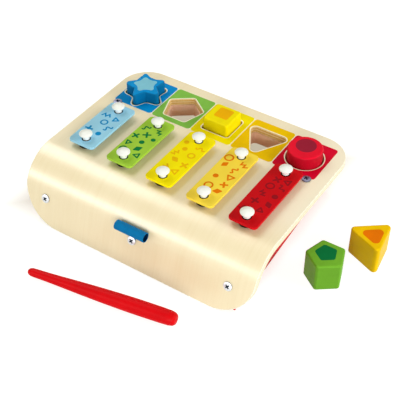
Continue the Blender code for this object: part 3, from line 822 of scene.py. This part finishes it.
# Colours of each lane's bar, of the print on it, and of the patch behind it
LANE_COLOURS = {
    "blue": ((156, 213, 247), (0, 140, 210), (0, 145, 225)),
    "green": ((162, 208, 66), (0, 120, 60), (136, 200, 84)),
    "yellow": ((255, 235, 0), (240, 190, 0), (255, 235, 0)),
    "amber": ((255, 223, 74), (235, 125, 0), (250, 205, 0)),
    "red": ((205, 8, 22), (150, 16, 30), (222, 4, 50)),
}

# Colours of each block and of the shape on it, and the share and direction of the painted shade on its sides
BLOCK_LOOKS = {
    "star": ((0, 146, 224), (135, 205, 235), (0.55, (-0.9, 0, 1))),
    "pentagon": ((115, 180, 50), (0, 115, 60), (0.74, (1, 0.3, 1))),
    "square": ((255, 235, 0), (250, 185, 0), (0.8, (0.9, 0.2, 1))),
    "triangle": ((245, 200, 0), (235, 120, 0), (0.64, (1, 0.2, 1))),
    "circle": ((238, 16, 50), (155, 27, 55), (0.6, (0, 0, 1))),
}


# Pieces


def linked(name, data):
    """A new object with this mesh, lamp or camera, in the scene."""
    obj = bpy.data.objects.new(name, data)
    bpy.context.scene.collection.objects.link(obj)
    return obj


def piece(name, mesh, material, body, replaced=(), location=(0, 0, 0), turn=(0, 0, 0)):
    """A piece on this body, placed from the middle of the flap's foot, in place of these nodes."""
    if any(turn):
        mesh = mesh.copy()
        mesh.transform(Euler(turn).to_matrix().to_4x4())
    obj = linked(name, mesh)
    obj.location = FOOT + Vector(location)
    if not mesh.materials:
        mesh.materials.append(material)
    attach(obj, body)
    if replaced:
        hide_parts(*replaced)
    return obj


def make_cover():
    """The sheet is drawn flat with every hole in it, wrapped over the bend and planed level at its foot.

    The plies in the puzzle's holes are painted browner than those at the sheet's outer edge, as painted
    shade.
    """
    half = COVER_WIDTH / 2
    sheet = rectangle(-half, 0, half, along_top(COVER_DEPTH))
    outlines = [rounded(sheet, [FLAP_CORNER_RADIUS] * 2 + [REAR_CORNER_RADIUS] * 2)]
    rims = [COVER_RIM]
    for shape, (x, y) in puzzle_places().items():
        outlines.append(placed(shape_outline(shape), (x, along_top(y))))
        rims.append(HOLE_RIM)
    for lane in range(LANES):
        for x, y in pin_places(lane).values():
            outlines.append(circle(PIN_SHANK_DIAMETER + 2 * SEAT_GAP, centre=(x, along_top(y))))
            rims.append(SEAT_GAP / 2)
    for x in (-FLAP_SCREW_X, 0, FLAP_SCREW_X):
        outlines.append(circle(SCREW_HOLE_DIAMETER, centre=(x, FLAP_SCREW_ALONG)))
    for x in (-TOP_SCREW_X, TOP_SCREW_X):
        outlines.append(circle(SCREW_HOLE_DIAMETER, centre=(x, along_top(TOP_SCREW_Y))))
    mesh = wrapped_mesh("cover_sheet", outlines, 0, PLY_THICKNESS, rims)
    for vertex in mesh.vertices:
        if vertex.co.z < 0:
            vertex.co.y -= vertex.co.z * tan(FLAP_LEAN)
            vertex.co.z = 0
    mesh.materials.append(birch_face())
    mesh.materials.append(ply_edge("ply_edge", srgb(255, 250, 235), srgb(251, 236, 206)))
    # Painted shade: the plies inside the holes get a browner copy of the edge material.
    mesh.materials.append(ply_edge("hole_ply_painted_shade", srgb(240, 215, 160), srgb(222, 180, 104)))
    places = mesh.attributes["sheet"].data
    for face in mesh.polygons:
        corners = [places[i].vector for i in face.vertices]
        depths = [corner.z for corner in corners]
        if max(depths) - min(depths) > CUT_FACE_DEPTH:
            x, along, _ = corners[0]
            in_hole = PATCHES_START < along < PATCHES_END and abs(x) < HOLES_HALF_WIDTH
            face.material_index = 2 if in_hole else 1
    piece("cover_sheet", mesh, None, "bench", ["plywood_cover"])


def make_patches():
    """The printed patches round the puzzle's holes. Each leaves a bare ring at the hole's edge."""
    places = puzzle_places()
    half = (BAR_PITCH - PATCH_GAP) / 2
    for lane, (shape, colour) in enumerate(zip(SHAPES, COLOURS)):
        x = lane_x(lane)
        square = rectangle(x - half, PUZZLE_Y - PATCH_FRONT, x + half, PUZZLE_Y + PATCH_REAR)
        ring = placed(shape_outline(shape, -BARE_RING), places[shape])
        outlines = [rounded(square, [PATCH_CORNER] * 4), ring]
        mesh = plate_mesh("patch_" + colour, outlines, COVER_HEIGHT, COVER_HEIGHT + FILM)
        material = paint("patch_ink_" + colour, srgb(*LANE_COLOURS[colour][2]), 0.4, 0.05, INK_RELIEF)
        piece("patch_" + colour, mesh, material, "bench")


def stroke(points, width):
    """The outline of a line of this width through these points."""
    sides = ([], [])
    for i, point in enumerate(points):
        into = (point - points[i - 1]).normalized() if i else (points[1] - point).normalized()
        out = (points[i + 1] - point).normalized() if i + 1 < len(points) else into
        across = (into.orthogonal() + out.orthogonal()) / (1 + into.dot(out)) * width / 2
        sides[0].append(point + across)
        sides[1].append(point - across)
    return sides[1] + sides[0][::-1]


def motif(kind, size, width):
    """The outlines of one small printed motif about its own centre."""
    half = size / 2
    if kind == "ring":
        return [circle(size, MOTIF_SIDES), circle(size - 2 * width, MOTIF_SIDES)]
    if kind == "dot":
        return [circle(size * 0.6, MOTIF_SIDES)]
    if kind == "cross":
        arm = width * 0.65
        quarter = [Vector((half, -arm)), Vector((half, arm)), Vector((arm, arm))]
        corners = [Matrix.Rotation(pi / 2 * i, 2) @ corner for i in range(4) for corner in quarter]
        return [rounded(corners, [width * 0.3] * len(corners))]
    if kind == "zigzag":
        points = [Vector((half * (i / 2 - 1), half * 0.42 * (-1) ** i)) for i in range(5)]
        return [stroke(points, width)]
    if kind == "wave":
        points = []
        for i in range(WAVE_STEPS + 1):
            height = half * 0.38 * sin(tau * 1.5 * i / WAVE_STEPS)
            points.append(Vector((half * (2 * i / WAVE_STEPS - 1), height)))
        return [stroke(points, width)]
    if kind == "triangle":
        outer = ring_of_points(3, (half * 1.15,), pi / 2)
        return [rounded(outer, [width * 0.5] * 3), moved_in(outer, width)]
    corners = ring_of_points(4, (half * 1.1, half * 0.7), 0)
    return [rounded(corners, [width * 0.5] * 4)]


def motif_places(lane, seed):
    """Places for the motifs of a bar, clear of its pins, its edges and each other."""
    dice = random.Random(seed)
    half_length = pin_spacing(lane) / 2 + BAR_END_TO_PIN - MOTIF_TO_EDGE
    half_width = BAR_WIDTH / 2 - MOTIF_TO_EDGE
    pins = [Vector((0, side * pin_spacing(lane) / 2)) for side in (-1, 1)]
    found = []
    for _ in range(MOTIF_TRIES):
        spot = Vector((dice.uniform(-half_width, half_width), dice.uniform(-half_length, half_length)))
        if any((spot - pin).length < MOTIF_TO_PIN for pin in pins):
            continue
        if any((spot - other).length < MOTIF_SPACING for other in found):
            continue
        found.append(spot)
    return found, dice


def make_bar(lane, colour):
    """A bar with rounded rims, and the confetti printed on it."""
    half_length = pin_spacing(lane) / 2 + BAR_END_TO_PIN
    bar = rectangle(-BAR_WIDTH / 2, -half_length, BAR_WIDTH / 2, half_length)
    outlines = [rounded(bar, [BAR_CORNER_RADIUS] * 4)]
    for end in (-1, 1):
        outlines.append(circle(BAR_HOLE_DIAMETER, centre=(0, end * pin_spacing(lane) / 2)))
    mesh = plate_mesh("bar_plate_" + colour, outlines, 0, BAR_THICKNESS, [BAR_RIM])
    place = (lane_x(lane), BAR_ROW_Y, BAR_UNDERSIDE)
    body = colour + "_bar"
    bar_colour, ink_colour, _ = LANE_COLOURS[colour]
    coat = enamel("enamel_" + colour, srgb(*bar_colour))
    piece("bar_plate_" + colour, mesh, coat, body, ["bar_" + colour], place)
    spots, dice = motif_places(lane, lane + MOTIF_SEED)
    drawn = bmesh.new()
    for i, spot in enumerate(spots):
        kind = MOTIF_KINDS[(i + lane * 2) % len(MOTIF_KINDS)]
        turn = Matrix.Rotation(dice.uniform(0, tau), 2)
        shapes = motif(kind, dice.uniform(*MOTIF_SIZES), MOTIF_LINE)
        outlines = [[spot + turn @ point for point in outline] for outline in shapes]
        add_plate(drawn, outlines, BAR_THICKNESS, BAR_THICKNESS + PRINT_FILM)
    print_mesh = finished(drawn, "bar_print_" + colour)
    ink = paint("ink_" + colour, srgb(*ink_colour), 0.38, 0.05, FINE_RELIEF)
    piece("bar_print_" + colour, print_mesh, ink, body, (), place)


def pin_mesh():
    """A pin about the cover's top face: head, neck down to the face, and shank through the plywood."""
    head_underside = BAR_LIFT + BAR_THICKNESS + PIN_HEAD_CLEARANCE
    rim = head_underside + PIN_HEAD_RIM
    head, neck, shank = PIN_HEAD_DIAMETER / 2, PIN_NECK_DIAMETER / 2, PIN_SHANK_DIAMETER / 2
    crown = dome(head, rim, head_underside + PIN_HEAD_HEIGHT)
    edge = [crown[-1], (head, head_underside), (neck, head_underside), (neck, SEAT_GAP)]
    edge += [(shank, SEAT_GAP), (shank, -PLY_THICKNESS)]
    return turned_mesh("pin", crown[:-1] + softened(edge, PIN_SOFTENING) + [(0, -PLY_THICKNESS)])


def sleeve_mesh():
    """A sleeve about the cover's top face: a washer that carries the bar, and a collar through it."""
    bore = PIN_NECK_DIAMETER / 2 + SEAT_GAP
    washer, collar = SLEEVE_WASHER_DIAMETER / 2, SLEEVE_COLLAR_DIAMETER / 2
    washer_top = BAR_LIFT - SEAT_GAP
    collar_top = BAR_LIFT + BAR_THICKNESS
    profile = [(bore, collar_top), (collar, collar_top), (collar, washer_top), (washer, washer_top)]
    profile += [(washer, SEAT_GAP), (bore, SEAT_GAP)]
    return turned_mesh("sleeve", softened(profile, SLEEVE_SOFTENING), closed=True)


def make_bars():
    pin, sleeve = pin_mesh(), sleeve_mesh()
    white = plastic("white_plastic", srgb(247, 251, 255), 0.34)
    black = plastic("black_rubber", srgb(8, 8, 8), 0.8, 1.1)
    for lane, colour in enumerate(COLOURS):
        make_bar(lane, colour)
        for end, (x, y) in pin_places(lane).items():
            tail = f"{colour}_{end}"
            place = (x, y, COVER_HEIGHT)
            piece("cap_pin_" + tail, pin, white, "bench", ["pin_" + tail], place)
            piece("rubber_" + tail, sleeve, black, "bench", ["sleeve_" + tail], place)


def make_block(shape, location, turn=0):
    """A block whose underside is at its own z = 0, and the small shape printed on its top."""
    turned = (0, 0, turn)
    body = "round" if shape == "circle" else shape
    colour, ink, sides = BLOCK_LOOKS[shape]
    outline = shape_outline(shape, hole_to_block(shape), BLOCK_CORNER_ROUNDING, WAIST_CREASE)
    top = BLOCK_HEIGHT - TOP_DROPS.get(shape, 0)
    mesh = plate_mesh(shape + "_solid", [outline], 0, top, [BLOCK_RIM], BLOCK_RIM_STEPS)
    # The block's paint carries painted shade on its sides, set by BLOCK_LOOKS.
    coat = paint("block_paint_and_side_shade_" + shape, srgb(*colour), 0.4, 0.07, BLOCK_RELIEF, sides=sides)
    piece(shape + "_solid", mesh, coat, body, [shape + "_block"], location, turned)
    inset, rounding, shift = BADGES[shape]
    badge = placed(shape_outline(shape, inset, rounding), shift)
    mesh = plate_mesh(shape + "_badge", [badge], top, top + FILM)
    coat = paint("badge_ink_" + shape, srgb(*ink))
    piece(shape + "_badge", mesh, coat, body, (), location, turned)


def make_blocks():
    seated = COVER_HEIGHT + BLOCK_PROUD - BLOCK_HEIGHT
    places = puzzle_places()
    for shape in ("star", "square", "circle"):
        make_block(shape, (*places[shape], seated))
    make_block("pentagon", (*PENTAGON_PLACE, 0), PENTAGON_TURN)
    make_block("triangle", (*TRIANGLE_PLACE, 0), TRIANGLE_TURN)


def cross_wing(turn, material):
    """One of the two bars of the cross that cuts a screw's recess."""
    drawn = bmesh.new()
    rings = []
    for side, (span_share, width_share) in ((-1, CROSS_BOTTOM_SHARES), (1, CROSS_TOP_SHARES)):
        x, y = CROSS_SPAN * span_share / 2, CROSS_WIDTH * width_share / 2
        height = SCREW_HEAD_HEIGHT + side * CROSS_DEPTH
        rings.append([drawn.verts.new((*corner, height)) for corner in rectangle(-x, -y, x, y)])
    bottom, top = rings
    drawn.faces.new(bottom[::-1])
    drawn.faces.new(top)
    for j in range(4):
        k = (j + 1) % 4
        drawn.faces.new((bottom[j], bottom[k], top[k], top[j]))
    mesh = finished(drawn, "wing")
    mesh.materials.append(material)
    wing = linked("wing", mesh)
    wing.rotation_euler = (0, 0, turn)
    return wing


def screw_mesh(name, length, material, recess):
    """A round-headed screw on z = 0 whose shank points down, with a tapered cross recess. The recess and the
    foot of the head's rim take the dark recess material as painted shade.
    """
    head, shank = SCREW_HEAD_DIAMETER / 2, SCREW_SHANK_DIAMETER / 2
    edge = [(head, SCREW_HEAD_RIM), (head, 0), (shank, 0), (shank, shank - length), (0, -length)]
    outline = dome(head, SCREW_HEAD_RIM, SCREW_HEAD_HEIGHT)[:-1] + softened(edge, SCREW_SOFTENING)
    screw = linked(name, turned_mesh(name, outline, SCREW_SIDES))
    screw.data.materials.append(material)
    wings = [cross_wing(pi / 4 + i * pi / 2, recess) for i in range(2)]
    for wing in wings:
        cut = screw.modifiers.new("wing", "BOOLEAN")
        having(cut, operation="DIFFERENCE", object=wing, solver="EXACT", material_mode="TRANSFER")
    bpy.context.view_layer.update()
    graph = bpy.context.evaluated_depsgraph_get()
    mesh = bpy.data.meshes.new_from_object(screw.evaluated_get(graph))
    for helper in (screw, *wings):
        bpy.data.objects.remove(helper, do_unlink=True)
    # Painted shadow: the foot of the head's rim takes the recess's dark material.
    for face in mesh.polygons:
        if 0 <= face.center.z < SCREW_HEAD_RIM and face.center.xy.length > head * RIM_SHARE:
            face.material_index = 1
    mesh.set_sharp_from_angle(angle=SHARP_ANGLE)
    return mesh


def make_screws():
    steel = zinc_steel("zinc_steel", srgb(196, 199, 203), srgb(222, 224, 227))
    # The top screws take a darker copy of the same steel: a painted dark reflection.
    dark_reflection_steel = zinc_steel("dark_reflection_steel", srgb(112, 112, 134), srgb(150, 150, 168))
    # Painted shade: the dark navy of the screws' recesses and of the foot of their heads' rims.
    recess = plastic("recess_shade", srgb(16, 36, 58), 0.6, 1)
    tilt = square_to_sheet(FLAP_SCREW_ALONG)
    long_screw = screw_mesh("screw", SCREW_LENGTH, steel, recess)
    dark_reflection_screw = screw_mesh("dark_reflection_screw", SCREW_LENGTH, dark_reflection_steel, recess)
    short_screw = screw_mesh("short_screw", LOOP_SCREW_LENGTH, steel, recess)
    for side, end in ((-1, "left"), (1, "right")):
        place = on_cover(side * FLAP_SCREW_X, FLAP_SCREW_ALONG, -SEAT_GAP)
        node = "flap_screw_" + end
        piece("flap_fixing_" + end, long_screw, None, "bench", [node], place, tilt)
        place = (side * TOP_SCREW_X, TOP_SCREW_Y, COVER_HEIGHT + SEAT_GAP)
        piece("top_fixing_" + end, dark_reflection_screw, None, "bench", ["top_screw_" + end], place)
    place = on_cover(0, FLAP_SCREW_ALONG, -TONGUE_TOP - SEAT_GAP)
    piece("loop_fixing", short_screw, None, "bench", ["loop_screw"], place, tilt)


def make_loop():
    """The tube on the bend, and the tongue from its foot down to the middle screw."""
    band = woven_band("blue_band", srgb(0, 122, 190))
    tube = LOOP_DIAMETER / 2
    foot = asin(LOOP_FOOT_WIDTH / LOOP_DIAMETER)
    outer = corner_arc(Vector((0, tube)), tube, foot - pi / 2, 3 * pi / 2 - foot)
    bore = circle(LOOP_DIAMETER - 2 * LOOP_WALL, BORE_SIDES, (0, tube))
    mesh = plate_mesh("loop_tube", [outer, bore], -LOOP_LENGTH / 2, LOOP_LENGTH / 2, [LOOP_RIM])
    mesh.materials.append(band)
    # Painted shade: the faces inside the bore take a dark navy copy of the band.
    mesh.materials.append(woven_band("bore_painted_shade", srgb(0, 40, 80)))
    inside = (LOOP_DIAMETER - LOOP_WALL) / 2
    for face in mesh.polygons:
        from_axis = (face.center.xy - Vector((0, tube))).length
        face.material_index = int(from_axis < inside and abs(face.normal.z) < 0.5)
    upright = Matrix.Rotation(pi / 2, 4, "Y") @ Matrix.Rotation(pi / 2, 4, "Z")
    turn = (Euler(square_to_sheet(LOOP_ALONG)).to_matrix().to_4x4() @ upright).to_euler()
    place = on_cover(0, LOOP_ALONG, -SEAT_GAP)
    piece("loop_tube", mesh, None, "bench", ["mallet_loop"], place, turn)
    half = TONGUE_WIDTH / 2
    tab = rectangle(-half, FLAP_SCREW_ALONG - half, half, LOOP_ALONG)
    hole = circle(SCREW_HOLE_DIAMETER, centre=(0, FLAP_SCREW_ALONG))
    outline = rounded(tab, [half - SEAT_GAP] * 2 + [0, 0])
    tongue = wrapped_mesh("loop_tongue", [outline, hole], TONGUE_TOP, TONGUE_THICKNESS, [SEAT_GAP / 2])
    piece("loop_tongue", tongue, band, "bench")


def smooth_radius(share):
    """The mallet's radius share there, on a smooth curve through its stations."""
    stations = MALLET_SHARES
    i = next(i for i, station in enumerate(stations[1:]) if share <= station[0])
    points = [stations[max(i - 1, 0)], stations[i], stations[i + 1], stations[min(i + 2, len(stations) - 1)]]
    (x0, y0), (x1, y1), (x2, y2), (x3, y3) = points
    width = x2 - x1
    t = (share - x1) / width
    start = (y2 - y0) / (x2 - x0) * width if x2 > x0 else 0
    end = (y3 - y1) / (x3 - x1) * width if x3 > x1 else 0
    return y1 + t * (start + t * (3 * (y2 - y1) - 2 * start - end + t * (2 * (y1 - y2) + start + end)))


def make_mallet():
    """The stick lies on the table, a little tilted where its swell rests."""
    start, end = MALLET_SHARES[CURVE_START][0], MALLET_SHARES[CURVE_END][0]
    shares = [share for share, _ in MALLET_SHARES if share <= start or share >= end]
    shares += [start + (end - start) * i / MALLET_STEPS for i in range(1, MALLET_STEPS)]
    profile = []
    for share in sorted(set(shares)):
        radius = smooth_radius(share) if start < share < end else dict(MALLET_SHARES)[share]
        profile.append((radius * MALLET_THICK_RADIUS, (share - 0.5) * MALLET_LENGTH))
    mesh = turned_mesh("mallet_stick", softened(profile, MALLET_SOFTENING)[::-1])
    turn = Matrix.Rotation(MALLET_TURN, 4, "Z") @ Matrix.Rotation(pi / 2 - MALLET_REST_TILT, 4, "Y")
    place = (*MALLET_PLACE, -min((turn @ vertex.co).z for vertex in mesh.vertices))
    coat = paint("mallet_paint", srgb(222, 8, 20), 0.4, 0.07, FAINT_RELIEF, (400, 400, 30))
    piece("mallet_stick", mesh, coat, "stick", ["mallet"], place, turn.to_euler())


def dress_wooden_base():
    """The red side panels and the pale hole plate keep their own meshes, with softened edges."""
    red = stained_wood("red_stain", srgb(228, 20, 28), srgb(205, 14, 22), (160, 20, 160))
    pale = stained_wood("plate_stain", srgb(255, 222, 200), srgb(252, 206, 182), (30, 160, 160))
    panels = [("side_panel_left", red, PANEL_EDGE), ("side_panel_right", red, PANEL_EDGE)]
    for name, material, rounding in (*panels, ("hole_plate", pale, PLATE_EDGE)):
        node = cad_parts[name]
        node.data.materials.clear()
        node.data.materials.append(material)
        having(node.modifiers.new("weld", "WELD"), merge_threshold=WELD_DISTANCE)
        edges = node.modifiers.new("edges", "BEVEL")
        having(edges, width=rounding, segments=EDGE_SEGMENTS, limit_method="ANGLE", angle_limit=EDGE_ANGLE)
        having(node.modifiers.new("shading", "WEIGHTED_NORMAL"), keep_sharp=True)


# Stage, light and camera


def show_and_light(tree, kind, lit, shown):
    """Ends the tree: one shader lights the toy, the other is what camera, gloss and glass see."""
    path = add(tree, "LightPath").outputs
    seen = maths("MAXIMUM", path["Is Camera Ray"], path["Is Glossy Ray"])
    seen = maths("MAXIMUM", seen, path["Is Transmission Ray"])
    mix = add(tree, "MixShader", {0: seen, 1: lit, 2: shown}).outputs[0]
    set_socket(add(tree, kind).inputs["Surface"], mix)


def make_floor():
    """A plain floor. Where it is seen it glows nearly white, with a painted shadow under the toy, and it
    takes shadows.
    """
    drawn = bmesh.new()
    bmesh.ops.create_grid(drawn, x_segments=1, y_segments=1, size=FLOOR_HALF_SIZE)
    floor = linked("floor", finished(drawn, "floor"))
    material, tree = started("floor")
    tree.nodes.clear()
    plain = add(tree, "BsdfDiffuse", {"Color": grey(0.62)}).outputs[0]
    faint = add(tree, "BsdfDiffuse", {"Color": grey(0.42)}).outputs[0]
    place = add(tree, "NewGeometry").outputs["Position"]
    middle = FOOT + Vector((SHADE_SHIFT[0], COVER_DEPTH / 2 + SHADE_SHIFT[1], 0))
    offset = add(tree, "VectorMath", {0: place, 1: middle}, operation="SUBTRACT").outputs[0]
    distance = add(tree, "VectorMath", {0: offset}, operation="ABSOLUTE").outputs[0]
    sides = add(tree, "SeparateXYZ", {"Vector": distance}).outputs
    beside = []
    for axis, size, past in zip("XY", (COVER_WIDTH, COVER_DEPTH), SHADE_REACH):
        reach = size / 2 + past
        beside.append(spread(sides[axis], reach - SHADE_FADE, reach))
    # Painted shadow: the glow is dark and warm under the toy, nearly white beyond it.
    shade = ramp(maths("MAXIMUM", *beside), (0, (0.25, 0.21, 0.13, 1)), (1, grey(0.86)))
    glow = add(tree, "Emission", {"Color": shade, "Strength": 1}).outputs[0]
    shown = add(tree, "AddShader", {0: faint, 1: glow}).outputs[0]
    show_and_light(tree, "OutputMaterial", plain, shown)
    floor.data.materials.append(material)


def make_world():
    world = bpy.data.worlds.new("studio")
    bpy.context.scene.world = world
    world.use_nodes = True
    tree = world.node_tree
    tree.nodes.clear()
    soft = add(tree, "Background", {"Color": (1, 0.93, 0.52, 1), "Strength": 0.3}).outputs[0]
    white = add(tree, "Background", {"Color": FULL, "Strength": 1}).outputs[0]
    show_and_light(tree, "OutputWorld", soft, white)


def make_lights():
    """Large flat lamps, each turned towards the toy and rolled about its own axis."""
    for name, (place, width, height, power, roll, lights_matt) in LAMPS.items():
        lamp = bpy.data.lights.new(name, "AREA")
        obj = linked(name, having(lamp, shape="RECTANGLE", size=width, size_y=height, energy=power))
        obj.location = place
        facing = (LAMP_AIM - Vector(place)).to_track_quat("-Z", "Y")
        obj.rotation_euler = (facing @ Quaternion((0, 0, 1), roll)).to_euler()
        obj.visible_diffuse = lights_matt


def make_camera():
    camera = bpy.data.cameras.new("camera")
    having(camera, sensor_width=SENSOR, lens=CAMERA_LENS, clip_start=CLIP_START)
    level = cos(CAMERA_ELEVATION)
    across, ahead = -sin(CAMERA_AZIMUTH) * level, cos(CAMERA_AZIMUTH) * level
    obj = linked("camera", camera)
    obj.location = FOOT + CAMERA_PLACE
    forward = Vector((across, ahead, -sin(CAMERA_ELEVATION)))
    obj.rotation_euler = forward.to_track_quat("-Z", "Y").to_euler()
    bpy.context.scene.camera = obj


make_cover()
make_patches()
make_bars()
make_blocks()
make_screws()
make_loop()
make_mallet()
dress_wooden_base()
make_floor()
make_world()
make_lights()
make_camera()
bpy.context.scene.view_settings.view_transform = "Standard"
bpy.context.view_layer.update()
